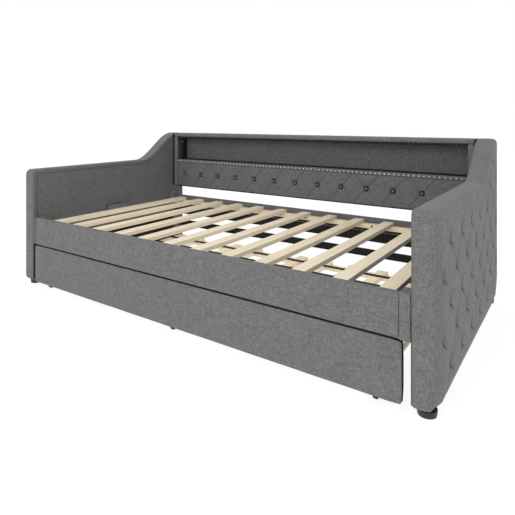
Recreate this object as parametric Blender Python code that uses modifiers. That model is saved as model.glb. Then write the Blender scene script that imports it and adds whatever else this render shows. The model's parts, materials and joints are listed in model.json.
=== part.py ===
"""Upholstered daybed with a shelf in its back and a roll-out trundle under it.

Metres, +Z up.  +X runs along the bed, -Y is the open front, and the origin is
on the floor under the middle of the bed.  Every part is one named object.
"""
import bpy
from math import radians

from mathutils import Matrix, Vector

# ---- driving dimensions ----------------------------------------------------
GAP = 0.0003                # air between parts that touch
LENGTH = 2.10               # outside of one arm to the outside of the other
DEPTH = 1.12                # front of the arms to the back of the arms
ARM_THICKNESS = 0.075
ARM_TOP = 0.599             # level part of the arm
BACK_TOP = 0.771
FOOT_HEIGHT = 0.019

SWOOP_START_Y = 0.185       # the arm's top climbs to the back between these
SWOOP_END_Y = 0.505
SWOOP_STEPS = 12
ARM_FRONT_RADIUS = 0.022
ARM_REAR_RADIUS = 0.028
ARM_BOTTOM_RADIUS = 0.020
ARC_STEPS = 5

BACK_THICKNESS = 0.095
BACK_BOTTOM = 0.405
BACK_BOARD = 0.006
SHELF_TOP = 0.590
SHELF_THICKNESS = 0.020
RECESS_TOP = 0.746
END_BOARD = 0.035

FRONT_RAIL_FACE_Y = -0.559
RAIL_THICKNESS = 0.029
FRONT_RAIL_BOTTOM = 0.214
FRONT_RAIL_TOP = 0.348
REAR_RAIL_FACE_Y = 0.468
REAR_RAIL_THICKNESS = 0.030
REAR_RAIL_TOP = 0.342
CORNER_BLOCK_WIDTH = 0.025
CORNER_BLOCK_DEPTH = 0.059
CORNER_BLOCK_TOP = 0.350

LEDGER_DEPTH = 0.028
LEDGER_HEIGHT = 0.024
LEDGER_TOP = 0.314
STRETCHER_Y = 0.480
STRETCHER_THICKNESS = 0.020
STRETCHER_BOTTOM = 0.130
STRETCHER_TOP = 0.168

SLAT_COUNT = 12
SLAT_WIDTH = 0.054
SLAT_THICKNESS = 0.018
SLAT_PITCH = 0.1605
TRUNDLE_SLAT_PITCH = 0.154

FOOT_RADIUS = 0.031
FOOT_INSET_Y = 0.038

TRUNDLE_HALF_LENGTH = 0.959
TRUNDLE_PANEL_BOTTOM = 0.020
TRUNDLE_PANEL_TOP = 0.209
TRUNDLE_PANEL_THICKNESS = 0.018
TRUNDLE_RAIL_BOTTOM = 0.043
TRUNDLE_RAIL_TOP = 0.0635
TRUNDLE_RAIL_HALF_LENGTH = 0.880
TRUNDLE_FRONT_RAIL_DEPTH = 0.045
TRUNDLE_REAR_RAIL_DEPTH = 0.045
TRUNDLE_REAR_Y = 0.440
TRUNDLE_SIDE_X = 0.868
TRUNDLE_SIDE_WIDTH = 0.025

WHEEL_RADIUS = 0.0125
WHEEL_WIDTH = 0.014
WHEEL_BORE_RADIUS = 0.0026
AXLE_RADIUS = 0.0025
BRACKET_SLOT = 0.0155        # room between the cheeks
BRACKET_CHEEK = 0.002
BRACKET_DEPTH = 0.018
BRACKET_PLATE = 0.002
BRACKET_BOTTOM = 0.006
CASTER_PITCH = 0.862
CASTER_FRONT_Y = -0.5315
CASTER_REAR_Y = 0.425

SOFT_EDGE = 0.008           # rounding of upholstered edges
WOOD_EDGE = 0.0015          # rounding of sawn edges
HARD_EDGE = 0.001

# ---- derived dimensions ----------------------------------------------------
HALF_LENGTH = LENGTH / 2
HALF_DEPTH = DEPTH / 2
HALF_INNER = HALF_LENGTH - ARM_THICKNESS
BACK_FACE_Y = HALF_DEPTH - BACK_THICKNESS
FIT_X = HALF_INNER - GAP    # half length of what stands between the arms

COLLECTION_NAME = "trundle_bed"
CUTTER_COLLECTION_NAME = "trundle_bed_cutters"

MATERIALS = {
    "fabric": ((0.19, 0.19, 0.195), 0.95, 0.0),
    "lining": ((0.012, 0.012, 0.013), 0.95, 0.0),
    "wood": ((0.72, 0.62, 0.45), 0.6, 0.0),
    "foot": ((0.035, 0.035, 0.036), 0.5, 0.0),
    "caster": ((0.02, 0.02, 0.02), 0.4, 0.0),
    "wheel": ((0.015, 0.015, 0.015), 0.6, 0.0),
}


# ---- scene and materials ---------------------------------------------------
def clear_scene():
    for old in list(bpy.data.objects):
        bpy.data.objects.remove(old, do_unlink=True)


def make_collection(name):
    collection = bpy.data.collections.new(name)
    bpy.context.scene.collection.children.link(collection)
    return collection


def make_material(name, colour, roughness, metallic):
    material = bpy.data.materials.new(name)
    material.use_nodes = True
    shader = material.node_tree.nodes["Principled BSDF"]
    shader.inputs["Base Color"].default_value = (*colour, 1.0)
    shader.inputs["Roughness"].default_value = roughness
    shader.inputs["Metallic"].default_value = metallic
    material.diffuse_color = (*colour, 1.0)
    return material


def move_to(collection, obj):
    for old in list(obj.users_collection):
        old.objects.unlink(obj)
    collection.objects.link(obj)


# ---- shapes ----------------------------------------------------------------
def add_bevel(obj, width, segments=2):
    bevel = obj.modifiers.new("edges", "BEVEL")
    bevel.width = width
    bevel.segments = segments
    bevel.limit_method = "ANGLE"
    return bevel


def add_box(name, low, high, material, edge, segments=2):
    """A box between two corners with rounded edges."""
    low = Vector(low)
    high = Vector(high)
    bpy.ops.mesh.primitive_cube_add(size=1.0, location=(low + high) / 2)
    obj = bpy.context.object
    obj.scale = high - low
    bpy.ops.object.transform_apply(location=False, rotation=False, scale=True)
    return finish(obj, name, material, edge, segments)


def add_cylinder(name, radius, depth, location, rotation, vertices=32):
    bpy.ops.mesh.primitive_cylinder_add(
        vertices=vertices, radius=radius, depth=depth, location=location, rotation=rotation)
    obj = bpy.context.object
    obj.name = name
    return obj


def finish(obj, name, material, edge, segments=2):
    obj.name = name
    obj.data.name = name
    obj.data.materials.clear()
    obj.data.materials.append(materials[material])
    if edge:
        add_bevel(obj, edge, segments)
    move_to(parts, obj)
    return obj


def mark_cutter(obj):
    obj.hide_render = True
    obj.display_type = "WIRE"
    move_to(cutters, obj)


def boolean(obj, other, operation):
    modifier = obj.modifiers.new(operation.lower(), "BOOLEAN")
    modifier.operation = operation
    modifier.solver = "EXACT"
    modifier.object = other
    mark_cutter(other)


def frozen_mesh(obj, name):
    """The evaluated mesh of a template, which is then removed with its cutters."""
    graph = bpy.context.evaluated_depsgraph_get()
    mesh = bpy.data.meshes.new_from_object(obj.evaluated_get(graph))
    mesh.transform(obj.matrix_world)
    mesh.name = name
    mesh.shade_smooth()
    mesh.set_sharp_from_angle(angle=0.6)
    for modifier in obj.modifiers:
        if modifier.type == "BOOLEAN":
            bpy.data.objects.remove(modifier.object)
    bpy.data.objects.remove(obj)
    return mesh


def place_copy(name, mesh, location, parent):
    obj = bpy.data.objects.new(name, mesh)
    obj.location = location
    obj.parent = parent
    parts.objects.link(obj)
    return obj


# ---- arms ------------------------------------------------------------------
def arc(centre_y, centre_z, radius, start, end):
    """Points on a quarter circle; the angles are multiples of 90 degrees."""
    points = []
    for step in range(ARC_STEPS + 1):
        turn = start + (end - start) * step / ARC_STEPS
        spoke = Vector((radius, 0.0))
        spoke.rotate(Matrix.Rotation(radians(90 * turn), 2))
        points.append((centre_y + spoke.x, centre_z + spoke.y))
    return points


def arm_outline():
    """Side view of an arm, as (y, z) points, anticlockwise from the low front."""
    front = -HALF_DEPTH
    rear = HALF_DEPTH
    low = FOOT_HEIGHT + ARM_BOTTOM_RADIUS
    points = arc(front + ARM_BOTTOM_RADIUS, low, ARM_BOTTOM_RADIUS, 2, 3)
    points += arc(rear - ARM_BOTTOM_RADIUS, low, ARM_BOTTOM_RADIUS, 3, 4)
    points += arc(rear - ARM_REAR_RADIUS, BACK_TOP - ARM_REAR_RADIUS, ARM_REAR_RADIUS, 0, 1)
    for step in range(SWOOP_STEPS + 1):
        along = 1 - step / SWOOP_STEPS
        rise = along * along * (3 - 2 * along)
        y = SWOOP_START_Y + (SWOOP_END_Y - SWOOP_START_Y) * along
        points.append((y, ARM_TOP + (BACK_TOP - ARM_TOP) * rise))
    points += arc(front + ARM_FRONT_RADIUS, ARM_TOP - ARM_FRONT_RADIUS, ARM_FRONT_RADIUS, 1, 2)
    return points


def make_arm(name, side):
    outline = arm_outline()
    curve = bpy.data.curves.new(name, "CURVE")
    curve.dimensions = "2D"
    curve.fill_mode = "BOTH"
    curve.extrude = ARM_THICKNESS / 2
    spline = curve.splines.new("POLY")
    spline.points.add(len(outline) - 1)
    for point, (y, z) in zip(spline.points, outline):
        point.co = (y, z, 0.0, 1.0)
    spline.use_cyclic_u = True
    arm = bpy.data.objects.new(name, curve)
    curve.materials.append(materials["fabric"])
    # the outline's x and y become the world's Y and Z
    arm.rotation_euler = (radians(90), 0.0, radians(90))
    arm.location = (side * (HALF_LENGTH - ARM_THICKNESS / 2), 0.0, 0.0)
    weld = arm.modifiers.new("weld", "WELD")
    weld.merge_threshold = 0.0001
    add_bevel(arm, SOFT_EDGE)
    parts.objects.link(arm)
    return arm


def make_feet():
    for side, side_name in ((-1, "left"), (1, "right")):
        for end, end_name in ((-1, "front"), (1, "rear")):
            x = side * (HALF_LENGTH - ARM_THICKNESS / 2)
            y = end * (HALF_DEPTH - FOOT_INSET_Y)
            height = FOOT_HEIGHT - GAP
            foot = add_cylinder("foot", FOOT_RADIUS, height, (x, y, height / 2), (0, 0, 0))
            finish(foot, f"foot_{end_name}_{side_name}", "foot", 2 * HARD_EDGE)


# ---- back ------------------------------------------------------------------
def make_back():
    inner_x = HALF_INNER - END_BOARD
    rear_y = HALF_DEPTH - BACK_BOARD
    add_box("back_rear_board", (-FIT_X, rear_y, BACK_BOTTOM), (FIT_X, HALF_DEPTH, BACK_TOP),
            "fabric", 2 * HARD_EDGE)
    add_box("back_top_board", (-FIT_X, BACK_FACE_Y, RECESS_TOP), (FIT_X, rear_y - GAP, BACK_TOP),
            "fabric", SOFT_EDGE)
    add_box("back_left_end", (-FIT_X, BACK_FACE_Y, BACK_BOTTOM),
            (-inner_x, rear_y - GAP, RECESS_TOP - GAP), "fabric", 2 * HARD_EDGE)
    add_box("back_right_end", (inner_x, BACK_FACE_Y, BACK_BOTTOM),
            (FIT_X, rear_y - GAP, RECESS_TOP - GAP), "fabric", 2 * HARD_EDGE)
    shelf_bottom = SHELF_TOP - SHELF_THICKNESS
    add_box("back_shelf_board", (-inner_x + GAP, BACK_FACE_Y, shelf_bottom),
            (inner_x - GAP, rear_y - GAP, SHELF_TOP), "fabric", 2 * HARD_EDGE)
    add_box("back_tufted_panel", (-inner_x + GAP, BACK_FACE_Y, BACK_BOTTOM),
            (inner_x - GAP, rear_y - GAP, shelf_bottom - GAP), "fabric", SOFT_EDGE)


# ---- rails and slats of the daybed -----------------------------------------
def make_rails():
    rail_x = HALF_INNER - CORNER_BLOCK_WIDTH
    front_inner_y = FRONT_RAIL_FACE_Y + RAIL_THICKNESS
    add_box("front_rail", (-rail_x + GAP, FRONT_RAIL_FACE_Y, FRONT_RAIL_BOTTOM),
            (rail_x - GAP, front_inner_y, FRONT_RAIL_TOP), "fabric", SOFT_EDGE)
    for side, side_name in ((-1, "left"), (1, "right")):
        ends = sorted((side * rail_x, side * FIT_X))
        block_rear_y = FRONT_RAIL_FACE_Y + CORNER_BLOCK_DEPTH
        add_box(f"corner_block_{side_name}", (ends[0], FRONT_RAIL_FACE_Y, FRONT_RAIL_BOTTOM),
                (ends[1], block_rear_y, CORNER_BLOCK_TOP), "fabric", SOFT_EDGE)
    add_box("rear_rail", (-FIT_X, REAR_RAIL_FACE_Y, FRONT_RAIL_BOTTOM),
            (FIT_X, REAR_RAIL_FACE_Y + REAR_RAIL_THICKNESS, REAR_RAIL_TOP), "fabric", SOFT_EDGE)
    add_box("rear_stretcher", (-FIT_X, STRETCHER_Y, STRETCHER_BOTTOM),
            (FIT_X, STRETCHER_Y + STRETCHER_THICKNESS, STRETCHER_TOP), "lining", 2 * HARD_EDGE)
    ledger_bottom = LEDGER_TOP - LEDGER_HEIGHT
    ledger_front_y = front_inner_y + GAP
    add_box("front_ledger", (-rail_x + GAP, ledger_front_y, ledger_bottom),
            (rail_x - GAP, ledger_front_y + LEDGER_DEPTH, LEDGER_TOP), "wood", WOOD_EDGE)
    ledger_rear_y = REAR_RAIL_FACE_Y - GAP
    add_box("rear_ledger", (-FIT_X, ledger_rear_y - LEDGER_DEPTH, ledger_bottom),
            (FIT_X, ledger_rear_y, LEDGER_TOP), "wood", WOOD_EDGE)


def make_slats(prefix, pitch, bottom, front_y, rear_y, parent=None):
    for index in range(SLAT_COUNT):
        x = (index - (SLAT_COUNT - 1) / 2) * pitch
        slat = add_box(f"{prefix}_{index + 1:02d}", (x - SLAT_WIDTH / 2, front_y, bottom),
                       (x + SLAT_WIDTH / 2, rear_y, bottom + SLAT_THICKNESS), "wood", WOOD_EDGE)
        slat.parent = parent


def make_daybed_slats():
    front_y = FRONT_RAIL_FACE_Y + RAIL_THICKNESS + GAP
    make_slats("slat", SLAT_PITCH, LEDGER_TOP + GAP, front_y, REAR_RAIL_FACE_Y - GAP)


# ---- trundle ---------------------------------------------------------------
def make_trundle(carriage):
    panel_rear_y = -HALF_DEPTH + TRUNDLE_PANEL_THICKNESS
    panel = add_box("trundle_front_panel", (-TRUNDLE_HALF_LENGTH, -HALF_DEPTH, TRUNDLE_PANEL_BOTTOM),
                    (TRUNDLE_HALF_LENGTH, panel_rear_y, TRUNDLE_PANEL_TOP), "fabric", SOFT_EDGE)
    front_y = panel_rear_y + GAP
    front_rail_rear_y = panel_rear_y + TRUNDLE_FRONT_RAIL_DEPTH
    front_rail = add_box("trundle_front_rail",
                         (-TRUNDLE_RAIL_HALF_LENGTH, front_y, TRUNDLE_RAIL_BOTTOM),
                         (TRUNDLE_RAIL_HALF_LENGTH, front_rail_rear_y, TRUNDLE_RAIL_TOP),
                         "wood", WOOD_EDGE)
    rear_rail_front_y = TRUNDLE_REAR_Y - TRUNDLE_REAR_RAIL_DEPTH
    rear_rail = add_box("trundle_rear_rail",
                        (-TRUNDLE_RAIL_HALF_LENGTH, rear_rail_front_y, TRUNDLE_RAIL_BOTTOM),
                        (TRUNDLE_RAIL_HALF_LENGTH, TRUNDLE_REAR_Y, TRUNDLE_RAIL_TOP),
                        "wood", WOOD_EDGE)
    for piece in (panel, front_rail, rear_rail):
        piece.parent = carriage
    for side, side_name in ((-1, "left"), (1, "right")):
        ends = sorted((side * (TRUNDLE_SIDE_X - TRUNDLE_SIDE_WIDTH), side * TRUNDLE_SIDE_X))
        rail = add_box(f"trundle_{side_name}_rail",
                       (ends[0], front_rail_rear_y + GAP, TRUNDLE_RAIL_BOTTOM),
                       (ends[1], rear_rail_front_y - GAP, TRUNDLE_RAIL_TOP), "wood", WOOD_EDGE)
        rail.parent = carriage
    make_slats("trundle_slat", TRUNDLE_SLAT_PITCH, TRUNDLE_RAIL_TOP + GAP, front_y,
               TRUNDLE_REAR_Y, carriage)


def bracket_mesh():
    """Caster bracket about its axle: a plate, two cheeks and the axle, in one piece."""
    top = TRUNDLE_RAIL_BOTTOM - GAP - WHEEL_RADIUS
    bottom = BRACKET_BOTTOM - WHEEL_RADIUS
    half_width = BRACKET_SLOT / 2 + BRACKET_CHEEK
    half_depth = BRACKET_DEPTH / 2
    bracket = add_box("bracket", (-half_width, -half_depth, bottom),
                      (half_width, half_depth, top), "caster", 2 * HARD_EDGE)
    slot = add_box("slot", (-BRACKET_SLOT / 2, -2 * half_depth, 2 * bottom),
                   (BRACKET_SLOT / 2, 2 * half_depth, top - BRACKET_PLATE), "caster", 0)
    boolean(bracket, slot, "DIFFERENCE")
    axle = add_cylinder("axle", AXLE_RADIUS, 2 * half_width - BRACKET_CHEEK, (0, 0, 0),
                        (0, radians(90), 0), vertices=16)
    boolean(bracket, axle, "UNION")
    return frozen_mesh(bracket, "caster_bracket")


def wheel_mesh():
    """Caster wheel about its axle, with a bore that clears it."""
    wheel = add_cylinder("wheel", WHEEL_RADIUS, WHEEL_WIDTH, (0, 0, 0), (0, radians(90), 0))
    bpy.ops.object.transform_apply(location=False, rotation=True, scale=False)
    finish(wheel, "wheel", "wheel", 2 * HARD_EDGE)
    bore = add_cylinder("bore", WHEEL_BORE_RADIUS, 2 * WHEEL_WIDTH, (0, 0, 0),
                        (0, radians(90), 0), vertices=16)
    boolean(wheel, bore, "DIFFERENCE")
    return frozen_mesh(wheel, "caster_wheel")


def make_casters(carriage):
    bracket = bracket_mesh()
    wheel = wheel_mesh()
    for y, end_name in ((CASTER_FRONT_Y, "front"), (CASTER_REAR_Y, "rear")):
        for column, column_name in ((-1, "left"), (0, "middle"), (1, "right")):
            axle = (column * CASTER_PITCH, y, WHEEL_RADIUS)
            place_copy(f"caster_bracket_{end_name}_{column_name}", bracket, axle, carriage)
            place_copy(f"caster_wheel_{end_name}_{column_name}", wheel, axle, carriage)


# ---- build -----------------------------------------------------------------
clear_scene()
parts = make_collection(COLLECTION_NAME)
cutters = make_collection(CUTTER_COLLECTION_NAME)
materials = {name: make_material(name, *values) for name, values in MATERIALS.items()}

make_arm("left_arm", -1)
make_arm("right_arm", 1)
make_feet()
make_back()
make_rails()
make_daybed_slats()

trundle_carriage = bpy.data.objects.new("trundle_carriage", None)
parts.objects.link(trundle_carriage)
make_trundle(trundle_carriage)
make_casters(trundle_carriage)
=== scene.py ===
"""Looks of an upholstered daybed with a roll-out trundle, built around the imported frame.

Metres, +Z up.  +X runs along the bed and -Y is the open front.
"""
import json
import math

import bmesh
import bpy
import numpy as np
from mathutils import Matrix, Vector, noise

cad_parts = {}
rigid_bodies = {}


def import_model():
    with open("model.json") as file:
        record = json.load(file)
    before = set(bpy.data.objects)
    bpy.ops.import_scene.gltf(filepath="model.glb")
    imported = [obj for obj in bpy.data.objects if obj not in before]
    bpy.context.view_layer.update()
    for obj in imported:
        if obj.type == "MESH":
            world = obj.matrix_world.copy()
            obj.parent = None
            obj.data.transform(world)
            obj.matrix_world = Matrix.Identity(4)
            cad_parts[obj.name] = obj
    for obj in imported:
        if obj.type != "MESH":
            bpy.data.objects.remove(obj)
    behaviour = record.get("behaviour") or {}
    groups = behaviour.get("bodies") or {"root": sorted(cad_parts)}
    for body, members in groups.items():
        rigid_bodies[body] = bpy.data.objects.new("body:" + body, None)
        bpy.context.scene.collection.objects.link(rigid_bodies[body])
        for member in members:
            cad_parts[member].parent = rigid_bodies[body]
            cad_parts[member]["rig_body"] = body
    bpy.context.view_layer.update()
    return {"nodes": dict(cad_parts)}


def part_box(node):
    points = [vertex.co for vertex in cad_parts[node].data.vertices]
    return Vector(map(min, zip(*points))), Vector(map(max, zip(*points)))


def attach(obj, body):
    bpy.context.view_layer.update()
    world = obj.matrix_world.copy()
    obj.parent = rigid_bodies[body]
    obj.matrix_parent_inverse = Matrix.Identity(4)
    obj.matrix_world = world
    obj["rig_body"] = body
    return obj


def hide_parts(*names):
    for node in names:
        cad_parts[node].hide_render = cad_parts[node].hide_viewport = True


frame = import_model()
nodes = frame["nodes"]

# ---- dimensions ------------------------------------------------------------
LEFT, RIGHT = -1, 1           # the sign of X at each end
SIDES = ((LEFT, "left"), (RIGHT, "right"))

# an arm's outline
ARM_TOP = 0.599               # the level front part of its top
SWOOP_START_Y = 0.185         # the top sweeps up to the back between these
SWOOP_END_Y = 0.505
ARM_FRONT_RADIUS = {LEFT: 0.027, RIGHT: 0.017}
ARM_REAR_RADIUS = 0.028
ARM_BOTTOM_RADIUS = 0.020
ARM_OUTER_EDGE = {LEFT: 0.009, RIGHT: 0.015}   # rounding between an arm's rim and its faces
ARM_INNER_EDGE = {LEFT: 0.005, RIGHT: 0.006}
RIM_CROWN = 0.0016
RIM_SEGMENTS = 5

# an arm's grid
RIM_OFFSETS = (0.0, 0.0015, 0.004, 0.008, 0.013, 0.0185, 0.0215, 0.0235, 0.0255, 0.029)
ARM_FINE = 0.0015             # spacing at the tufts
ARM_COARSE = 0.0052           # and between them
ARM_SHOULDER = 0.530          # its rows are level up to here

# an arm's tufts: a tuft stands at every second crossing of these columns and levels
TUFT_Y0 = -0.505
TUFT_HALF_Y = 0.0835
TUFT_Z0 = 0.208
TUFT_HALF_Z = 0.0945
TUFT_COLUMNS = range(14)
TUFT_LEVELS = range(-1, 6)
TUFT_BORDER = 0.024           # the plain border, and how far the tufting takes to start
TUFT_MARGIN = 0.028

# how an arm's faces swell, ripple and are sewn
ARM_PUFF = 0.0065             # how far the tufted face stands proud of its border
QUICK_SWELL = 0.045           # distance from the outline by which the rear part has swelled
REAR_TUCK = 0.7               # share of the swelling that the rear bottom corner loses
BOTTOM_TUCK = 0.0034          # how far the right arm's bottom edge is drawn in
FRONT_CORNER_TUCK = 0.012     # and its front bottom corner
LEFT_ARM_SLIMMER = 0.006      # how much thinner the left arm is at its front
INNER_SET_BACK = 0.0010
OUTER_RIPPLE = 0.0008
INNER_RIPPLE = 0.0007
RIPPLE_RUN = 0.03             # ripples start at the outline and are full from here
INNER_SEAM = 0.0235           # distance of the seam from the outline
SEAM_WIDTH = 0.0030
SEAM_DEPTH = 0.0026

# how strongly painted shade darkens the folds and seams, from 0 to 1
ARM_FOLD_SHADE = 0.80
BAND_FOLD_SHADE = 0.35
SEAM_SHADE = 0.35

# the tufted panel, its buttons and the nails
BAND_TUFT_HALF_Z = 0.083
BAND_GRID = 0.0027
BAND_END_GAP = 0.0015
UNDERSIDE = 0.0042            # thickness of the cloth under the panel
BUTTON_COUNT = 13
BUTTON_PITCH = 0.1455
BUTTON_Z = 0.4925
BUTTON_RADIUS = 0.0082
NAIL_PITCH = 0.0252
NAIL_SHIFT = 0.3              # of a pitch
NAIL_HALF_COUNT = 37
NAIL_RADIUS = 0.0041
STUD_COUNT = 14
STUD_Z0 = 0.417
STUD_PITCH = 0.0125

# small parts
CHEEK_Y = 0.0465              # from the shelf's front edge
BOLT_XS = (-0.872, -0.479, -0.085, 0.085, 0.479, 0.872)
CLEATS = (("middle_cleat", -0.099, 0.034, 0.300, 0.3455, 0.024),   # y, z and thickness
          ("rear_cleat", 0.425, 0.463, 0.300, 0.366, 0.024))
STRAPS = (("strap_rear", 0.330, 0.360), ("strap_middle", 0.196, 0.224))
STRAP_THICKNESS = 0.0014
STRAP_STEP = 0.007
SLAT_COUNT = 12
SLAT_HALF_WIDTH = 0.027
FOOT_SCALE = {"front": 0.95, "rear": 1.05}


# ---- materials -------------------------------------------------------------
class Graph:
    """One material and a short way to add nodes to it."""

    def __init__(self, name):
        self.material = bpy.data.materials.new(name)
        self.material.use_nodes = True
        self.tree = self.material.node_tree
        self.shader = self.tree.nodes["Principled BSDF"]
        coordinates = self.add("ShaderNodeTexCoord")
        self.position = coordinates.outputs["Object"]
        self.normal = coordinates.outputs["Normal"]

    def add(self, kind, inputs=None, **settings):
        node = self.tree.nodes.new(kind)
        for name, value in settings.items():
            setattr(node, name, value)
        for key, value in (inputs or {}).items():
            if isinstance(value, bpy.types.NodeSocket):
                self.tree.links.new(value, node.inputs[key])
            else:
                node.inputs[key].default_value = value
        return node

    def noise(self, stretch, detail=2.0, roughness=0.5, distortion=0.0):
        """Noise with so many features a metre along each axis."""
        scaled = self.add("ShaderNodeMapping", {"Vector": self.position, "Scale": stretch})
        made = self.add("ShaderNodeTexNoise", {
            "Vector": scaled.outputs[0], "Scale": 1.0, "Detail": detail,
            "Roughness": roughness, "Distortion": distortion})
        return made.outputs["Fac"]

    def math(self, operation, a, b=0.0):
        return self.add("ShaderNodeMath", {0: a, 1: b}, operation=operation).outputs[0]

    def weighted(self, pairs):
        total = None
        for value, weight in pairs:
            part = self.math("MULTIPLY", value, weight)
            total = part if total is None else self.math("ADD", total, part)
        return total

    def ramp(self, value, low, high, stops):
        spread = self.add("ShaderNodeMapRange", {"Value": value, "From Min": low, "From Max": high})
        ramp = self.add("ShaderNodeValToRGB", {"Fac": spread.outputs[0]})
        elements = ramp.color_ramp.elements
        while len(elements) < len(stops):
            elements.new(0.5)
        for element, (place, colour) in zip(elements, stops):
            element.position = place
            element.color = (*colour, 1.0)
        return ramp.outputs["Color"]

    def greys(self, value, low, high, levels, warmth=0.0):
        """A ramp of three greys."""
        stops = zip((0.0, 0.5, 1.0), levels)
        return self.ramp(value, low, high, [(place, grey(level, warmth)) for place, level in stops])

    def line(self, value, slope, base):
        return self.math("ADD", self.math("MULTIPLY", value, slope), base)

    def bump(self, height, distance, strength=1.0, under=None):
        inputs = {"Height": height, "Distance": distance, "Strength": strength}
        if under is not None:
            inputs["Normal"] = under
        return self.add("ShaderNodeBump", inputs).outputs["Normal"]

    def finish(self, colour=None, roughness=None, normal=None, **constants):
        links = self.tree.links
        if colour is not None:
            links.new(colour, self.shader.inputs["Base Color"])
        if roughness is not None:
            links.new(roughness, self.shader.inputs["Roughness"])
        if normal is not None:
            links.new(normal, self.shader.inputs["Normal"])
        for name, value in constants.items():
            self.shader.inputs[name.replace("_", " ")].default_value = value
        return self.material


def grey(level, warmth=0.0):
    return (level * (1 + warmth), level, level * (1 - warmth))


def drawn_out(across, along, axis):
    """Noise features a metre for something that is long along one axis."""
    return tuple(along if a == axis else across for a in range(3))


def weave_material(name, dark, light, warmth=0.0):
    """Linen-like cloth: fine threads both ways, long slubs and soft heathered patches, and painted
    shade where a mesh's crease attribute marks folds and seams.
    """
    g = Graph(name)
    threads = [g.noise(drawn_out(760, 70, axis)) for axis in range(3)]
    slubs = [g.noise(drawn_out(430, 42, axis), 3.0) for axis in range(3)]
    patches = g.noise((9, 9, 9), 4.0, 0.6)
    pairs = [(value, 0.29) for value in threads] + [(value, 0.31) for value in slubs]
    mix = g.weighted(pairs + [(patches, 0.10)])
    colour = g.greys(mix, 0.79, 1.11, (dark, (dark + light) / 2, light), warmth)
    # the crease attribute mixes the colour towards dark grey: painted shade in folds and seams
    folds = g.add("ShaderNodeAttribute", attribute_name="crease").outputs["Fac"]
    colour = g.add("ShaderNodeMix", {"Factor": folds, 6: colour, 7: (*grey(0.25 * dark), 1.0)},
                   data_type="RGBA").outputs[2]
    height = g.weighted([(value, 0.33) for value in threads])
    coarse = g.weighted([(value, 0.33) for value in slubs])
    normal = g.bump(height, 0.0012, 0.6)
    normal = g.bump(coarse, 0.0020, 0.5, normal)
    return g.finish(colour, g.line(height, 0.3, 0.72), normal, Sheen_Weight=0.07, Sheen_Roughness=0.5,
                    Specular_IOR_Level=0.13)


def lining_material():
    """Black non-woven cloth with a faint pressed grain."""
    g = Graph("lining")
    fine = g.noise((900, 900, 900), 2.0)
    broad = g.noise((30, 30, 30), 3.0)
    mix = g.weighted([(fine, 0.6), (broad, 0.4)])
    colour = g.greys(mix, 0.3, 0.7, (0.0065, 0.010, 0.017))
    return g.finish(colour, g.line(fine, 0.2, 0.75), g.bump(fine, 0.0006, 0.6),
                    Specular_IOR_Level=0.25)


def wood_material(name, along, dull_shaded_sides=False):
    """Planed pale pine with its grain along one axis (0 for X, 1 for Y)."""
    g = Graph(name)
    rings = g.noise(drawn_out(150.0, 3.0, along), 4.0, 0.6, 0.6)
    fibres = g.noise(drawn_out(700.0, 12.0, along), 2.0)
    boards = g.noise(drawn_out(6.5, 0.6, along), 1.0)
    mix = g.weighted([(rings, 0.55), (fibres, 0.25), (boards, 0.30)])
    colour = g.ramp(mix, 0.36, 0.74, [
        (0.0, (0.64, 0.52, 0.35)), (0.45, (0.82, 0.705, 0.525)), (1.0, (0.89, 0.80, 0.64))])
    if dull_shaded_sides:
        # the sawn sides of a slat are duller than its planed faces, and painted shade darkens them
        # further towards the right arm
        facing = g.add("ShaderNodeSeparateXYZ", {0: g.normal}).outputs["X"]
        place = g.add("ShaderNodeSeparateXYZ", {0: g.position}).outputs["X"]
        side_share = g.add("ShaderNodeMapRange", {
            "Value": g.math("ABSOLUTE", facing), "From Min": 0.6, "From Max": 0.8}).outputs[0]
        # the sides' colour along X: duller wood, with painted shade growing towards the right arm
        dull_and_shaded = g.ramp(place, -0.9, 0.9, [
            (0.0, (0.82, 0.71, 0.54)), (0.50, (0.76, 0.66, 0.50)), (0.74, (0.62, 0.54, 0.42)),
            (0.87, (0.50, 0.455, 0.385)), (0.97, (0.34, 0.33, 0.315))])
        colour = g.add("ShaderNodeMix", {"Factor": side_share, 6: colour, 7: dull_and_shaded},
                       data_type="RGBA").outputs[2]
    rough = g.line(rings, 0.25, 0.42)
    normal = g.bump(fibres, 0.0005, 0.5)
    normal = g.bump(rings, 0.0008, 0.35, normal)
    return g.finish(colour, rough, normal, Specular_IOR_Level=0.3)


def black_material(name, level, rough_low, grain, metallic=0.0):
    """Moulded or painted black, with a fine surface grain."""
    g = Graph(name)
    fine = g.noise((grain, grain, grain), 3.0)
    broad = g.noise((60, 60, 60), 2.0)
    colour = g.greys(broad, 0.3, 0.7, (level * 0.7, level, level * 1.4))
    rough = g.line(broad, 0.25, rough_low)
    return g.finish(colour, rough, g.bump(fine, 0.0003, 0.5), Metallic=metallic)


def nail_material(name, level):
    """Burnished champagne metal, its colour scaled by level; a low level paints the shade on nails
    that sit in shade.
    """
    g = Graph(name)
    wear = g.noise((400, 400, 400), 3.0)
    tones = ((0.0, (0.50, 0.45, 0.37)), (0.5, (0.74, 0.69, 0.60)), (1.0, (0.86, 0.82, 0.73)))
    colour = g.ramp(wear, 0.3, 0.7, [
        (place, tuple(part * level for part in tone)) for place, tone in tones])
    return g.finish(colour, g.line(wear, 0.25, 0.15), g.bump(wear, 0.0002, 0.4), Metallic=1.0)


def webbing_material():
    """Black woven strap with ribs across it."""
    g = Graph("webbing")
    ribs = g.add("ShaderNodeTexWave", {"Vector": g.position, "Scale": 95.0, "Distortion": 0.6},
                 bands_direction="X").outputs["Fac"]
    fuzz = g.noise((500, 500, 500), 2.0)
    mix = g.weighted([(ribs, 0.5), (fuzz, 0.5)])
    colour = g.greys(mix, 0.2, 0.8, (0.006, 0.012, 0.024))
    return g.finish(colour, g.line(fuzz, 0.2, 0.7), g.bump(mix, 0.0006, 0.7),
                    Specular_IOR_Level=0.25)


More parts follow.
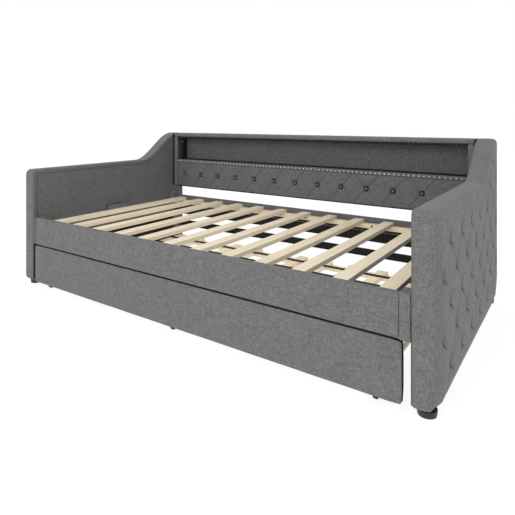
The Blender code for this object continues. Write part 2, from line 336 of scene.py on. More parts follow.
fabric = weave_material("fabric", 0.076, 0.222)
# copies of the fabric darkened as painted shade: a mild, slightly cooler one for faces inside the
# bed, and darker ones for the recess's sides and back wall
mild_shade_fabric = weave_material("mild_shade_fabric", 0.064, 0.192, -0.015)
deep_shade_fabric = weave_material("deep_shade_fabric", 0.030, 0.084)
recess_shade_fabric = weave_material("recess_shade_fabric", 0.064, 0.184, -0.012)
lining = lining_material()
wood_x = wood_material("wood_x", 0)
wood_y = wood_material("wood_y", 1)
# slats whose sides carry painted shade towards the right arm
slat_wood = wood_material("slat_wood", 1, dull_shaded_sides=True)
foot_plastic = black_material("foot_plastic", 0.013, 0.36, 900)
caster_metal = black_material("caster_metal", 0.018, 0.25, 1200, 0.3)
wheel_rubber = black_material("wheel_rubber", 0.014, 0.5, 700)
bolt_metal = black_material("bolt_metal", 0.05, 0.25, 1000, 0.8)
button_shell = black_material("button_shell", 0.11, 0.25, 900)
nail_metal = nail_material("nail_metal", 1.12)
# the nail metal darkened as painted shade, for nails under the top board and down the panel's sides
shaded_nail_metal = nail_material("shaded_nail_metal", 0.20)
webbing = webbing_material()


# ---- mesh helpers ----------------------------------------------------------
def add_object(name, vertices, faces, material, body, slot_name, smooth=True):
    mesh = bpy.data.meshes.new(name)
    mesh.from_pydata([tuple(v) for v in vertices], [], faces)
    work = bmesh.new()
    work.from_mesh(mesh)
    bmesh.ops.recalc_face_normals(work, faces=work.faces)
    work.to_mesh(mesh)
    work.free()
    mesh.materials.append(material)
    if smooth:
        mesh.shade_smooth()
    obj = bpy.data.objects.new(name, mesh)
    bpy.context.scene.collection.objects.link(obj)
    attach(obj, body)
    return obj


def smoothstep(value):
    value = np.clip(value, 0.0, 1.0)
    return value * value * (3 - 2 * value)


def rising(value, start, run):
    """From 0 at start to 1 at start + run."""
    return smoothstep((value - start) / run)


def falling(value, start, run):
    """From 1 at start - run to 0 at start."""
    return smoothstep((start - value) / run)


def body_of_node(node):
    return nodes[node]["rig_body"]


def axis_samples(low, high, radius, spacing):
    """Places along one side of a rounded box: close together at the edges."""
    turns = [math.tan(math.radians(45 - 9 * step)) for step in range(6)]
    near = [low + radius * (1 - turn) for turn in turns]
    far = [high - radius * (1 - turn) for turn in reversed(turns)]
    inner = high - low - 2 * radius
    count = max(1, int(round(inner / spacing)))
    middle = [low + radius + inner * step / count for step in range(1, count)]
    return near + middle + far


def wave(point, scale, seed):
    return noise.noise(Vector((point[0] * scale + seed, point[1] * scale, point[2] * scale)))


def outline_ring(ni, nj):
    """Indices round the edge of a grid of ni by nj vertices."""
    last_i, last_j = ni - 1, nj - 1
    ring = [(i, 0) for i in range(last_i)] + [(last_i, j) for j in range(last_j)]
    ring += [(i, last_j) for i in range(last_i, 0, -1)] + [(0, j) for j in range(last_j, 0, -1)]
    return ring


def grid_faces(ni, nj, start=0):
    faces = []
    for i in range(ni - 1):
        for j in range(nj - 1):
            a = start + i * nj + j
            faces.append((a, a + 1, a + 1 + nj, a + nj))
    return faces


def bridge(first, second):
    """Faces between two closed rings of vertices."""
    after = [(n + 1) % len(first) for n in range(len(first))]
    return [(first[n], first[m], second[m], second[n]) for n, m in enumerate(after)]


def soft_box(name, low, high, material, body, slot_name, radius=0.007, spacing=0.03,
             bulge=None, ripple=0.0004, seed=0.0, corner=0.0):
    """A cushioned board: rounded edges, crowned faces where bulge says so, and slight ripples."""
    low, high = np.array(low, float), np.array(high, float)
    radius = min(radius, 0.49 * float((high - low).min()))
    lines = [axis_samples(low[a], high[a], radius, spacing) for a in range(3)]
    sizes = [len(line) for line in lines]
    index, points = {}, []

    def vertex(i, j, k):
        key = (i, j, k)
        if key not in index:
            index[key] = len(points)
            points.append((lines[0][i], lines[1][j], lines[2][k]))
        return index[key]

    faces = []
    for axis in range(3):
        u, v = (axis + 1) % 3, (axis + 2) % 3
        for end in (0, sizes[axis] - 1):
            for a in range(sizes[u] - 1):
                for b in range(sizes[v] - 1):
                    corners = []
                    for da, db in ((0, 0), (1, 0), (1, 1), (0, 1)):
                        place = [0, 0, 0]
                        place[axis], place[u], place[v] = end, a + da, b + db
                        corners.append(vertex(*place))
                    faces.append(corners)
    points = np.array(points)
    middle, half = (low + high) / 2, (high - low) / 2
    inside = np.clip(half - np.abs(points - middle), 0, None)
    core = np.clip(points, low + radius, high - radius)
    spoke = points - core
    length = np.linalg.norm(spoke, axis=1, keepdims=True)
    normal = spoke / np.maximum(length, 1e-9)
    points = core + normal * radius
    for side, amount in (bulge or {}).items():
        axis = "xyz".index(side[1])
        sign = 1 if side[0] == "+" else -1
        share = np.maximum(0, sign * normal[:, axis])
        for other in range(3):
            if other != axis:
                edge = np.minimum(points[:, other] - low[other], high[other] - points[:, other])
                share = share * smoothstep(edge / min(0.05, 0.45 * (high - low)[other]))
        ripples = np.array([1 + 0.25 * wave(p, 9.0, seed) for p in points])
        points[:, axis] += sign * amount * share * ripples
    if corner:
        # the four corners of the face seen from the front are rounded in its own plane
        near = 1 - np.minimum(inside[:, (0, 2)] / corner, 1)
        pull = near.max(1) / np.maximum(np.hypot(near[:, 0], near[:, 1]), 1e-9)
        both = (near.min(1) > 0)[:, None]
        start = half[[0, 2]] - corner
        flat = points[:, (0, 2)] - middle[[0, 2]]
        turned = np.sign(flat) * (start + (np.abs(flat) - start) * pull[:, None])
        points[:, (0, 2)] = np.where(both, turned, flat) + middle[[0, 2]]
    if ripple:
        shift = np.array([ripple * (wave(p, 14.0, seed + 7) - 0.6) for p in points])
        points += normal * shift[:, None]
    return add_object(name, points, faces, material, body, slot_name)


def soft_node(node, material=None, **options):
    """Replaces a CAD board by a cushioned one of the same size."""
    low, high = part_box(node)
    trim = options.pop("trim", (0, 0, 0, 0, 0, 0))
    low, high = low + Vector(trim[:3]), high + Vector(trim[3:])
    slot_name = options.pop("slot_name", "fabric")
    obj = soft_box(f"soft_{node}", low, high, material or fabric, body_of_node(node), slot_name,
                   **options)
    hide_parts(node)
    return obj


def lining_box(name, low, high, radius, material=None, body="root", ripple=0.0, corner=0.0):
    """A thin piece of cloth, flat unless it has a ripple; also a dark sheet standing for painted
    shade in a gap or recess.
    """
    return soft_box(name, low, high, material or lining, body, "lining", radius=radius,
                    spacing=0.05, ripple=ripple, corner=corner)


def lathe(profile, segments, centre, axis):
    """Vertices and faces of a closed turned shape; profile is (radius, height) from the base."""
    axis = Vector(axis).normalized()
    side = axis.orthogonal().normalized()
    other = axis.cross(side)
    centre = Vector(centre)
    vertices, faces = [], []
    for radius, height in profile:
        for step in range(segments):
            turn = 2 * math.pi * step / segments
            spoke = side * math.cos(turn) + other * math.sin(turn)
            vertices.append(centre + axis * height + spoke * radius)
    last = (len(profile) - 1) * segments
    for start in range(0, last, segments):
        faces += bridge(range(start, start + segments),
                        range(start + segments, start + 2 * segments))
    faces.append(tuple(reversed(range(segments))))
    faces.append(tuple(range(last, last + segments)))
    return vertices, faces


def join_parts(parts):
    vertices, faces = [], []
    for some_vertices, some_faces in parts:
        start = len(vertices)
        vertices += some_vertices
        faces += [tuple(start + i for i in face) for face in some_faces]
    return vertices, faces


def dome_profile(radius, height, steps=5):
    """A low dome on a short rim."""
    profile = [(radius * 0.96, -0.001), (radius, 0.0)]
    for step in range(1, steps):
        turn = math.pi / 2 * step / steps
        profile.append((radius * math.cos(turn), height * math.sin(turn)))
    profile.append((radius * 0.06, height))
    return profile


# ---- tufting ---------------------------------------------------------------
# the slack fold that curls around each tuft of an arm: along the arm, up, and how deep it is, which
# also sets how strongly painted shade darkens it
FOLD_PATH = ((0.022, 0.052, 0.0), (0.006, 0.032, 0.9), (-0.002, 0.010, 1.0), (0.003, -0.005, 1.0),
             (0.024, -0.019, 0.8), (0.050, -0.036, 0.0))
FOLD_WIDTH = 0.0033


def fold_line(du, dv):
    """How near a place is to the fold around its tuft, from 0 to 1."""
    best = np.zeros_like(du)
    for (u0, v0, w0), (u1, v1, w1) in zip(FOLD_PATH, FOLD_PATH[1:]):
        along_u, along_v = u1 - u0, v1 - v0
        square = along_u ** 2 + along_v ** 2
        t = np.clip(((du - u0) * along_u + (dv - v0) * along_v) / square, 0, 1)
        away = np.hypot(du - u0 - t * along_u, dv - v0 - t * along_v)
        best = np.maximum(best, (w0 + (w1 - w0) * t) * np.exp(-(away / FOLD_WIDTH) ** 2))
    return best


def tuft_height(u, v, half_u, half_v, depth, dimple, fold, crease, pillow, base,
                single_row=False, sharp=3, spread=0.0, reach=0.30, lean=1.0, curl=0.0):
    """Height and painted fold shade of a diamond tufted face; u and v are measured from one button.

    Buttons stand where u / half_u and v / half_v are whole numbers with an even sum.
    """
    p = (u / half_u + v / half_v) / 2
    q = (u / half_u - v / half_v) / 2
    near_p, near_q = np.round(p), np.round(q)
    button_u = (near_p + near_q) * half_u
    button_v = (near_p - near_q) * half_v
    away = np.hypot(u - button_u, v - button_v)
    real = np.ones_like(u)
    if single_row:
        real = (np.abs(button_v) < half_v / 2).astype(float)
    size = math.hypot(half_u, half_v)
    width = 2 * half_u * half_v / size
    line_p = np.abs(p - near_p) * width
    line_q = np.abs(q - near_q) * width
    crown = pillow * np.sqrt(np.abs(np.sin(math.pi * p) * np.sin(math.pi * q)))
    fade = base + (1 - base) * np.exp(-away / (reach * size))
    crease = crease + spread * np.minimum(away, 0.035)
    creases = fold * fade * (lean * np.exp(-(line_p / crease) ** 2) + np.exp(-(line_q / crease) ** 2))
    pull = depth * real * np.exp(-(away / dimple) ** sharp)
    # painted shade along the creases, round each button's pit and along the curled fold
    wide = 1.5 * crease
    shade = fade * np.maximum(lean * np.exp(-(line_p / wide) ** 2), np.exp(-(line_q / wide) ** 2))
    if curl:
        near = fold_line(u - button_u, v - button_v)
        creases = creases + curl * near
        shade = np.maximum(0.2 * shade, near)
    else:
        shade = np.maximum(shade, real * np.exp(-(away / (0.8 * dimple)) ** 2))
    return crown - creases - pull, shade


# ---- arms ------------------------------------------------------------------
def quarter(offset, radius):
    """How far a rounded corner falls at a distance from the end."""
    inside = max(0.0, radius - offset)
    return radius - math.sqrt(radius * radius - inside * inside)


def arm_height(side, y, front, rear, bottom, back_top):
    """Lowest and highest point of an arm's outline at y."""
    low = bottom + quarter(y - front, ARM_BOTTOM_RADIUS) + quarter(rear - y, ARM_BOTTOM_RADIUS)
    along = min(1.0, max(0.0, (y - SWOOP_START_Y) / (SWOOP_END_Y - SWOOP_START_Y)))
    rise = along * along * (3 - 2 * along)
    high = ARM_TOP + (back_top - ARM_TOP) * rise
    high -= quarter(y - front, ARM_FRONT_RADIUS[side]) + quarter(rear - y, ARM_REAR_RADIUS)
    return low, high


def clustered(low, high, centres):
    """Places between low and high, close together around each of the centres."""
    places = np.linspace(low, high, 4000)
    near = np.abs(places[:, None] - np.array(centres)).min(1)
    spacing = ARM_FINE + (ARM_COARSE - ARM_FINE) * rising(near, 0.007, 0.020)
    count = np.concatenate([[0.0], np.cumsum(1 / spacing[1:])]) * (places[1] - places[0])
    steps = int(round(count[-1]))
    return np.interp(np.arange(1, steps) * count[-1] / steps, count, places)


def edge_round(distance, radius):
    inside = radius - np.minimum(distance, radius)
    return radius - np.sqrt(radius * radius - inside * inside)


def seam(distance, place, depth):
    """A stitched groove that follows the outline."""
    return depth * np.exp(-((distance - place) / SEAM_WIDTH) ** 2)


def paint_fold_shade(obj, amounts):
    """Stores the painted shade of the folds and seams, for the first vertices of a mesh."""
    layer = obj.data.attributes.new("crease", "FLOAT", "POINT")
    values = np.zeros(len(obj.data.vertices), np.float32)
    values[:len(amounts)] = amounts
    layer.data.foreach_set("value", values)


def arm_grid(side, front, rear, bottom, back_top):
    """The (y, z) places of an arm's grid, close together at its rim and its tufts."""
    rim = RIM_OFFSETS[-1]
    columns = [TUFT_Y0 + k * TUFT_HALF_Y for k in TUFT_COLUMNS]
    levels = [TUFT_Z0 + k * TUFT_HALF_Z for k in TUFT_LEVELS]
    ys = [front + o for o in RIM_OFFSETS] + list(clustered(front + rim, rear - rim, columns))
    ys += [rear - o for o in reversed(RIM_OFFSETS)]
    # shares of the way from the rim to the shoulder, and from the shoulder to the rim
    lower = clustered(bottom + rim, ARM_SHOULDER, levels) - bottom - rim
    lower = lower / (ARM_SHOULDER - bottom - rim)
    top = back_top - rim
    upper = (clustered(ARM_SHOULDER, top, levels) - ARM_SHOULDER) / (top - ARM_SHOULDER)
    rows = 2 * len(RIM_OFFSETS) + len(lower) + 1 + len(upper)
    grid = np.zeros((len(ys), rows, 2))
    for i, y in enumerate(ys):
        z_low, z_high = arm_height(side, y, front, rear, bottom, back_top)
        inner_low, inner_high = z_low + rim, z_high - rim
        zs = [z_low + o for o in RIM_OFFSETS]
        zs += [inner_low + t * (ARM_SHOULDER - inner_low) for t in (*lower, 1.0)]
        zs += [ARM_SHOULDER + t * (inner_high - ARM_SHOULDER) for t in upper]
        zs += [z_high - o for o in reversed(RIM_OFFSETS)]
        grid[i, :, 0] = y
        grid[i, :, 1] = zs
    return grid


def outline_distance(grid, outline):
    """Distance from each place of a grid to a closed outline."""
    flat = grid.reshape(-1, 2)
    step = np.roll(outline, -1, axis=0) - outline
    square = np.maximum((step ** 2).sum(1), 1e-12)
    nearest = np.empty(len(flat))
    for chunk in range(0, len(flat), 2000):
        some = flat[chunk:chunk + 2000, None, :]
        t = np.clip(((some - outline) * step).sum(2) / square, 0, 1)
        away = np.moveaxis(some - outline - t[..., None] * step, 2, 0)
        nearest[chunk:chunk + 2000] = np.hypot(*away).min(1)
    return nearest.reshape(grid.shape[:2])


def arm_puff(side, y, z, front, distance):
    """How far the tufted face swells; the right arm's swells slowly in front, at once behind."""
    puff = ARM_PUFF
    if side == RIGHT:
        slow = rising(distance, 0.012, 0.036)
        quick = 1 - (1 - np.minimum(distance + 0.006, QUICK_SWELL) / QUICK_SWELL) ** 2
        share = rising(y, front, 0.08) * (0.3 + 0.6 * rising(y, -0.3, 0.7))
        puff = ARM_PUFF * (slow * (1 - share) + quick * share)
    puff = puff * (1 - REAR_TUCK * rising(y, 0.38, 0.12) * falling(z, 0.14, 0.10))
    if side == RIGHT:
        puff = puff - BOTTOM_TUCK * falling(z, 0.09, 0.07)
        puff = puff - FRONT_CORNER_TUCK * falling(y, front + 0.08, 0.06) * falling(z, 0.12, 0.09)
    return puff


def build_arm(side, name):
    """An upholstered arm: a tufted outer face, a sewn inner face and a rim between them."""
    low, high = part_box(name)
    front = low.y
    outer_x, inner_x = (high.x, low.x) if side == RIGHT else (low.x, high.x)
    grid = arm_grid(side, front, high.y, low.z, high.z)
    columns, rows = grid.shape[:2]
    ring = outline_ring(columns, rows)
    outline = np.array([grid[i, j] for i, j in ring])
    distance = outline_distance(grid, outline)
    y, z = grid[..., 0], grid[..., 1]
    height, shade = tuft_height(y - TUFT_Y0, z - TUFT_Z0, TUFT_HALF_Y, TUFT_HALF_Z,
                                depth=0.0045, dimple=0.0120, fold=0.0030, crease=0.0024,
                                pillow=0.0014, base=0.22, sharp=1.4, spread=0.08, reach=0.20,
                                curl=0.0045)
    mask = rising(distance, TUFT_BORDER, TUFT_MARGIN)
    ripple = np.array([[wave((a, b, side), 11.0, 3.0) for a, b in zip(r, s)] for r, s in zip(y, z)])
    rippled = rising(distance, 0.0, RIPPLE_RUN)
    puff = arm_puff(side, y, z, front, distance)
    slimmer = LEFT_ARM_SLIMMER * (1 - rising(y, front, 0.5)) if side == LEFT else 0.0
    outer = outer_x + side * (puff + height * mask + OUTER_RIPPLE * ripple * rippled
                              - edge_round(distance, ARM_OUTER_EDGE[side]))
    inner = inner_x + side * (slimmer + INNER_SET_BACK - INNER_RIPPLE * (ripple + 1) * rippled
                              + edge_round(distance, ARM_INNER_EDGE[side])
                              + seam(distance, INNER_SEAM, SEAM_DEPTH))
    vertices = []
    for sheet in (outer, inner):
        vertices += list(zip(sheet.ravel(), y.ravel(), z.ravel()))
    offset = columns * rows
    faces = grid_faces(columns, rows) + grid_faces(columns, rows, offset)
    inner_faces = range(len(faces) // 2, len(faces))

    # the rim between the two faces, slightly crowned
    tangent = np.roll(outline, -1, axis=0) - np.roll(outline, 1, axis=0)
    tangent /= np.linalg.norm(tangent, axis=1, keepdims=True)
    outward = np.stack([tangent[:, 1], -tangent[:, 0]], axis=1)
    previous = [i * rows + j for i, j in ring]
    for segment in range(1, RIM_SEGMENTS):
        share = segment / RIM_SEGMENTS
        crown = RIM_CROWN * 4 * share * (1 - share)
        current = list(range(len(vertices), len(vertices) + len(ring)))
        for n, (i, j) in enumerate(ring):
            spot = outline[n] + outward[n] * crown
            x = outer[i, j] + (inner[i, j] - outer[i, j]) * share
            vertices.append((x, spot[0], spot[1]))
        faces += bridge(previous, current)
        previous = current
    faces += bridge(previous, [offset + i * rows + j for i, j in ring])

    obj = add_object(f"soft_{name}", vertices, faces, fabric, "root", "fabric")
    # the inner face is drawn in the fabric darkened as painted shade
    obj.data.materials.append(mild_shade_fabric)
    # painted shade in the arm's folds and along its inner seam
    seam_shade = SEAM_SHADE * seam(distance, INNER_SEAM, 1.0)
    paint_fold_shade(obj, np.concatenate([(ARM_FOLD_SHADE * shade * mask).ravel(), seam_shade.ravel()]))
    for n in inner_faces:
        obj.data.polygons[n].material_index = 1
    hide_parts(name)
    return obj


# ---- back ------------------------------------------------------------------
def build_band():
    """The tufted panel below the shelf: a grid on its face, a plain back."""
    low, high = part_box("back_tufted_panel")
    low, high = np.array(low), np.array(high)
    radius = 0.006
    low += (BAND_END_GAP, 0, UNDERSIDE)
    high[0] -= BAND_END_GAP
    xs = np.array(axis_samples(low[0], high[0], radius, BAND_GRID))
    zs = np.array(axis_samples(low[2], high[2], radius, BAND_GRID))
    x, z = np.meshgrid(xs, zs, indexing="ij")
    edge = np.minimum(np.minimum(x - low[0], high[0] - x), np.minimum(z - low[2], 4 * (high[2] - z)))
    height, shade = tuft_height(x, z - BUTTON_Z, BUTTON_PITCH / 2, BAND_TUFT_HALF_Z, depth=0.012,
                                dimple=0.0150, fold=0.0042, crease=0.0026, pillow=0.0025,
                                base=0.26, single_row=True, lean=0.5, reach=0.36)
    mask = rising(edge, 0.002, 0.022)
    y = low[1] - height * mask + edge_round(edge, radius)
    columns, rows = x.shape
    vertices = list(zip(x.ravel(), y.ravel(), z.ravel()))
    faces = grid_faces(columns, rows)
    ring = outline_ring(columns, rows)
    start = len(vertices)
    vertices += [(x[i, j], high[1], z[i, j]) for i, j in ring]
    back = tuple(range(start, start + len(ring)))
    faces += bridge([i * rows + j for i, j in ring], back)
    faces.append(back)
    # the tufted panel, in the fabric darkened as painted shade
    obj = add_object("soft_back_tufted_panel", vertices, faces, mild_shade_fabric, "root", "fabric")
    # painted shade along the panel's creases and round its buttons
    paint_fold_shade(obj, (BAND_FOLD_SHADE * shade * mask).ravel())
    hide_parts("back_tufted_panel")
    lining_box("tufted_panel_underside", (low[0], low[1] + 0.001, low[2] - UNDERSIDE),
               (high[0], high[1], low[2] - 0.0002), 0.0015)
    button = [(radius * BUTTON_RADIUS, height) for radius, height in (
        (0.80, -0.006), (0.96, -0.002), (1.00, 0.0010), (0.95, 0.0034), (0.78, 0.0056),
        (0.50, 0.0071), (0.15, 0.0077))]
    # a black ring under each button: painted shade round its pit
    shadow_ring = [(0.0100, -0.0060), (0.0138, -0.0035), (0.0142, -0.0012), (0.0125, 0.0002),
            (0.0080, -0.0010)]
    parts, shadow_rings = [], []
    for k in range(BUTTON_COUNT):
        spot = ((k - (BUTTON_COUNT - 1) / 2) * BUTTON_PITCH, low[1] + 0.0048, BUTTON_Z)
        parts.append(lathe(button, 24, spot, (0, -1, 0)))
        shadow_rings.append(lathe(shadow_ring, 24, spot, (0, -1, 0)))
    add_object("button_shadow_rings", *join_parts(shadow_rings), lining, "root", "lining")
    add_object("buttons", *join_parts(parts), button_shell, "root", "fabric")


def build_nails():
    """Nailheads along the shelf's edge, under the top board and down the panel's sides."""
    shelf_low, shelf_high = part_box("back_shelf_board")
    top_low, top_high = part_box("back_top_board")
    rows = (("nails_shelf", (shelf_low.z + shelf_high.z) / 2 - 0.001, shelf_low.y, NAIL_RADIUS,
             nail_metal),
            ("nails_top", top_low.z - 0.0035, top_low.y + 0.002, NAIL_RADIUS * 0.8, shaded_nail_metal))
    for name, z, y, radius, material in rows:
        parts = []
        for k in range(-NAIL_HALF_COUNT, NAIL_HALF_COUNT + 1):
            x = (k + NAIL_SHIFT) * NAIL_PITCH
            if abs(x) < shelf_high.x - radius:
                parts.append(lathe(dome_profile(radius, 0.0034), 14, (x, y, z), (0, -1, 0)))
        add_object(name, *join_parts(parts), material, "root", "fabric")
    band_low, band_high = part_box("back_tufted_panel")
    studs = []
    for side in (LEFT, RIGHT):
        for k in range(STUD_COUNT):
            spot = (side * (band_high.x - 0.0045), band_low.y - 0.0005, STUD_Z0 + STUD_PITCH * k)
            studs.append(lathe(dome_profile(0.0028, 0.0018), 10, spot, (0, -1, 0)))
    add_object("nails_sides", *join_parts(studs), shaded_nail_metal, "root", "fabric")


def build_back():
    # the recess's back wall, in the fabric darkened as painted shade
    soft_node("back_rear_board", material=recess_shade_fabric, radius=0.005, bulge={"+y": 0.002},
              spacing=0.05)
    soft_node("back_top_board", radius=0.008, bulge={"-y": 0.001, "+z": 0.001},
              trim=(0.0045, 0, 0, -0.0045, 0, 0))
    soft_node("back_left_end", radius=0.007, bulge={"-y": 0.001}, trim=(0.0045, 0, 0, 0, 0, 0))
    soft_node("back_right_end", radius=0.007, bulge={"-y": 0.001}, trim=(0, 0, 0, -0.0045, 0, 0))
    shelf_low, shelf_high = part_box("back_shelf_board")
    top_low, top_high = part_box("back_top_board")
    back_y = shelf_high.y - 0.001
    cheek_y = shelf_low.y + CHEEK_Y
    # a black strip on the shelf: painted shade behind its nailed edge
    lining_box("shelf_shadow_strip", (shelf_low.x + 0.002, shelf_low.y + 0.012, shelf_high.z + 0.0002),
               (shelf_high.x - 0.002, back_y, shelf_high.z + 0.0016), 0.0006)
    # a black strip under the top board: painted shade at the top of the recess
    lining_box("recess_top_shadow_strip", (shelf_low.x + 0.002, top_low.y + 0.003, top_low.z - 0.0110),
               (shelf_high.x - 0.002, top_low.y + 0.009, top_low.z - 0.0003), 0.002)
    for side, word in SIDES:
        # the recess's side walls, in the fabric darkened as painted shade
        xs = sorted((side * (shelf_high.x - 0.0002), side * (shelf_high.x - 0.0018)))
        lining_box(f"recess_{word}_lining", (xs[0], shelf_low.y + 0.010, shelf_high.z + 0.002),
                   (xs[1], back_y, top_low.z - 0.001), 0.0007, deep_shade_fabric)
        if side == LEFT:
            # a black block inside the recess's left side: painted shade
            lining_box("recess_cheek_shadow", (-shelf_high.x + 0.0016, cheek_y, shelf_high.z + 0.002),
                       (-shelf_high.x + 0.0130, back_y, top_low.z - 0.001), 0.002)
        # black strips in the gap between each end board and its arm: painted shade
        end_low, end_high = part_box(f"back_{word}_end")
        outer = max(-end_low.x, end_high.x)
        xs = sorted((side * (outer + 0.0004), side * (outer - 0.0048)))
        lining_box(f"back_{word}_gap_lining", (xs[0], end_low.y - 0.0055, end_low.z + 0.002),
                   (xs[1], end_high.y, top_high.z - 0.003), 0.001)
    cheek_screw = (-shelf_high.x + 0.0072, cheek_y, 0.712)
    rear_screw = (0.909, back_y + 0.0005, 0.738)
    screws = [lathe(dome_profile(0.0042, 0.002), 12, cheek_screw, (0, -1, 0)),
              lathe(dome_profile(0.0035, 0.002), 12, rear_screw, (0, -1, 0))]
    add_object("recess_screws", *join_parts(screws), nail_metal, "root", "fabric")
    # the shelf board, in the fabric darkened as painted shade
    soft_node("back_shelf_board", material=mild_shade_fabric, radius=0.004, bulge={"-y": 0.0006})
    build_band()
    build_nails()


# ---- rails -----------------------------------------------------------------
def build_rails():
    soft_node("front_rail", radius=0.0045, bulge={"-y": 0.0012, "+z": 0.0006}, spacing=0.03,
              trim=(-0.008, 0, 0, -0.0098, 0, 0))
    # the left corner block, in the fabric darkened as painted shade
    soft_node("corner_block_left", material=mild_shade_fabric, radius=0.009,
              trim=(-0.0110, 0, -0.001, -0.0085, 0, 0.001))
    soft_node("corner_block_right", radius=0.004,
              trim=(-0.0096, 0, -0.003, 0, 0, 0.003))
    # the rear rail, in the fabric darkened as painted shade
    soft_node("rear_rail", material=mild_shade_fabric, radius=0.007, spacing=0.04)
    rear_low, rear_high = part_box("rear_rail")
    ledger_low, ledger_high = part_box("rear_ledger")
    lining_box("rear_rail_lining", (rear_low.x + 0.004, rear_low.y - 0.0022, rear_low.z + 0.004),
               (rear_high.x - 0.004, rear_low.y - 0.0006, ledger_low.z - 0.001), 0.0007,
               ripple=0.0002)
    lining_box("rear_lining_hem", (rear_low.x + 0.005, rear_low.y - 0.0036, ledger_low.z - 0.020),
               (rear_high.x - 0.005, rear_low.y - 0.0016, ledger_low.z - 0.0155), 0.0007,
               button_shell)
    soft_node("rear_stretcher", material=lining, slot_name="lining", radius=0.003, spacing=0.05)
    bolts = []
    for x in BOLT_XS:
        spot = (x, ledger_low.y, (ledger_low.z + ledger_high.z) / 2 + 0.002)
        bolts.append(lathe(dome_profile(0.0058, 0.003), 16, spot, (0, -1, 0)))
    add_object("ledger_bolts", *join_parts(bolts), bolt_metal, "root", "caster")
    arm_low, arm_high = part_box("left_arm")
    rail_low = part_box("front_rail")[0]
    for side, word in SIDES:
        face = side * abs(arm_high.x)
        xs = sorted((face - side * 0.0002, face - side * 0.0018))
        lining_box(f"arm_lining_{word}", (xs[0], arm_low.y + 0.010, arm_low.z + 0.006),
                   (xs[1], rear_low.y - 0.002, rail_low.z - 0.001), 0.0007)
        if side == LEFT:
            # a black strip at the left arm's front: painted shade in the gap beside the panel
            lining_box("arm_front_shadow_strip", (face - 0.015, arm_low.y + 0.0015, arm_low.z + 0.012),
                       (face + 0.0005, arm_low.y + 0.020, rail_low.z - 0.002), 0.002)
        for piece, y0, y1, z0, z1, thick in CLEATS:
            xs = sorted((face - side * 0.0003, face - side * thick))
            soft_box(f"{piece}_{word}", (xs[0], y0, z0), (xs[1], y1, z1), fabric, "root", "fabric",
                     radius=0.003, spacing=0.02)
            if piece == "middle_cleat":
                # a dark strip round the middle cleat: painted shade along its edge
                xs = sorted((face - side * 0.0003, face - side * 0.004))
                soft_box(f"{piece}_{word}_edge", (xs[0], y0 - 0.0045, z0),
                         (xs[1], y1 + 0.002, z1 + 0.0035), deep_shade_fabric, "root", "fabric",
                         radius=0.001, spacing=0.02)


# ---- trundle ---------------------------------------------------------------
def build_strap(name, y0, y1, z, half):
    """A woven strap along X, flat on the slats."""
    xs = np.arange(-half, half + 1e-6, STRAP_STEP)
    vertices, faces = [], []
    for x in xs:
        vertices += [(x, y0, z), (x, y1, z), (x, y1, z + STRAP_THICKNESS),
                     (x, y0, z + STRAP_THICKNESS)]
    last = 4 * (len(xs) - 1)
    for n in range(0, last, 4):
        faces += bridge(range(n, n + 4), range(n + 4, n + 8))
    faces += [(0, 1, 2, 3), tuple(range(last, last + 4))]
    return add_object(name, vertices, faces, webbing, "trundle", "lining", smooth=False)


def build_trundle():
    soft_node("trundle_front_panel", radius=0.006, bulge={"-y": 0.0012}, spacing=0.03,
              trim=(-0.008, 0, 0, -0.0097, -0.009, -0.001), corner=0.012)
    low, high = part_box("trundle_front_panel")
    # the panel's black back cloth; where it rises over the panel's top it is painted shade in the gap
    # under the rail
    lining_box("trundle_panel_lining", (low.x - 0.0092, high.y - 0.0088, low.z + 0.003),
               (high.x - 0.0082, high.y, high.z + 0.0015), 0.003, body="trundle", corner=0.012)
    slat_low, slat_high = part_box(f"trundle_slat_{SLAT_COUNT:02d}")
    half = (slat_low.x + slat_high.x) / 2 + SLAT_HALF_WIDTH
    for name, y0, y1 in STRAPS:
        build_strap(name, y0, y1, slat_high.z + 0.0003, half)


# ---- feet and casters ------------------------------------------------------
def build_feet():
    for end in ("front", "rear"):
        for _, word in SIDES:
            node = f"foot_{end}_{word}"
            low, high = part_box(node)
            radius = (high.x - low.x) / 2 * FOOT_SCALE[end]
            tall = high.z - low.z
            profile = [(radius * 0.90, 0.0), (radius * 0.945, 0.0008), (radius * 0.955, 0.003),
                       (radius * 0.965, 0.0045), (radius * 0.97, 0.006),
                       (radius * 0.985, tall * 0.55), (radius, tall - 0.006),
                       (radius, tall - 0.0015), (radius * 0.985, tall)]
            centre = ((low.x + high.x) / 2, (low.y + high.y) / 2, low.z)
            foot = add_object(f"turned_{node}", *lathe(profile, 48, centre, (0, 0, 1)),
                              foot_plastic, "root", "foot")
            foot.data.set_sharp_from_angle(angle=0.7)
            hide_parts(node)


def paint_nodes():
    """Gives the CAD nodes that stay in view their materials."""
    for name, obj in nodes.items():
        if name.startswith("slat"):
            material = slat_wood
        elif "slat" in name or name in ("trundle_left_rail", "trundle_right_rail"):
            material = wood_y
        elif "ledger" in name or name in ("trundle_front_rail", "trundle_rear_rail"):
            material = wood_x
        elif name.startswith("caster_bracket"):
            material = caster_metal
        elif name.startswith("caster_wheel"):
            material = wheel_rubber
        else:
            material = fabric
        obj.data.materials.clear()
        obj.data.materials.append(material)


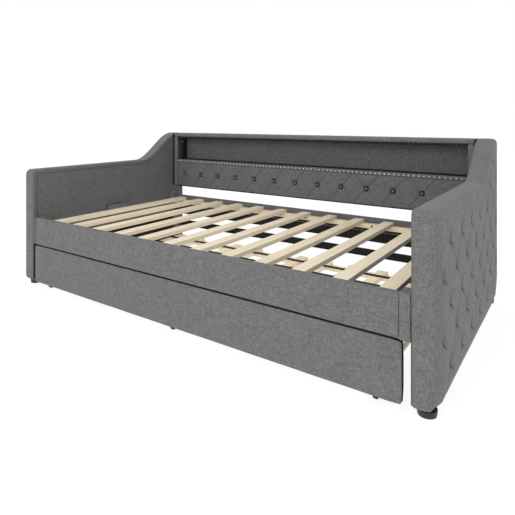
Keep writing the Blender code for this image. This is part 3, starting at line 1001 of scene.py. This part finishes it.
# ---- camera, light, floor --------------------------------------------------
def build_stage():
    camera = bpy.data.cameras.new("camera")
    camera.sensor_fit = "HORIZONTAL"
    camera.sensor_width = 36.0
    camera.lens = 33.20
    camera.shift_y = -0.2662
    view = bpy.data.objects.new("camera", camera)
    view.location = (1.3865, -1.9481, 0.858)
    view.rotation_euler = (math.radians(90), 0.0, math.radians(34.3516))
    bpy.context.scene.collection.objects.link(view)
    bpy.context.scene.camera = view

    world = bpy.data.worlds.new("studio")
    bpy.context.scene.world = world
    world.use_nodes = True
    background = world.node_tree.nodes["Background"]
    background.inputs["Color"].default_value = (1.0, 1.0, 1.0, 1.0)
    background.inputs["Strength"].default_value = 1.0

    def area(name, place, target, size, power):
        light = bpy.data.lights.new(name, "AREA")
        light.shape = "DISK"
        light.size = size
        light.energy = power
        lamp = bpy.data.objects.new(name, light)
        lamp.location = place
        lamp.rotation_euler = (Vector(target) - Vector(place)).to_track_quat("-Z", "Y").to_euler()
        bpy.context.scene.collection.objects.link(lamp)

    area("key", (0.6, -4.2, 2.6), (0.0, 0.0, 0.3), 2.4, 48.0)

    # a soft fill over the trundle, which the deck would otherwise leave dim
    fill = bpy.data.lights.new("fill", "AREA")
    fill.shape = "RECTANGLE"
    fill.size = 1.80
    fill.size_y = 0.90
    fill.energy = 2.4
    lamp = bpy.data.objects.new("fill", fill)
    lamp.location = (0.0, -0.03, 0.282)
    lamp.visible_camera = False
    bpy.context.scene.collection.objects.link(lamp)

    size = 14.0
    floor_mesh = bpy.data.meshes.new("floor")
    floor_mesh.from_pydata([(-size, -size, 0), (size, -size, 0), (size, size, 0), (-size, size, 0)],
                           [], [(0, 1, 2, 3)])
    floor = bpy.data.objects.new("floor", floor_mesh)
    bpy.context.scene.collection.objects.link(floor)
    g = Graph("floor")
    mottle = g.noise((1.5, 1.5, 1.5), 3.0)
    colour = g.greys(mottle, 0.2, 0.8, (0.17, 0.18, 0.19))
    g.finish(colour, Roughness=0.9, Specular_IOR_Level=0.0)
    g.shader.inputs["Emission Color"].default_value = (1.0, 1.0, 1.0, 1.0)
    g.shader.inputs["Emission Strength"].default_value = 0.87
    floor_mesh.materials.append(g.material)
    bpy.context.scene.view_settings.view_transform = "Standard"


# ---- build -----------------------------------------------------------------
paint_nodes()
for arm_side, arm_word in SIDES:
    build_arm(arm_side, f"{arm_word}_arm")
build_back()
build_rails()
build_trundle()
build_feet()
build_stage()
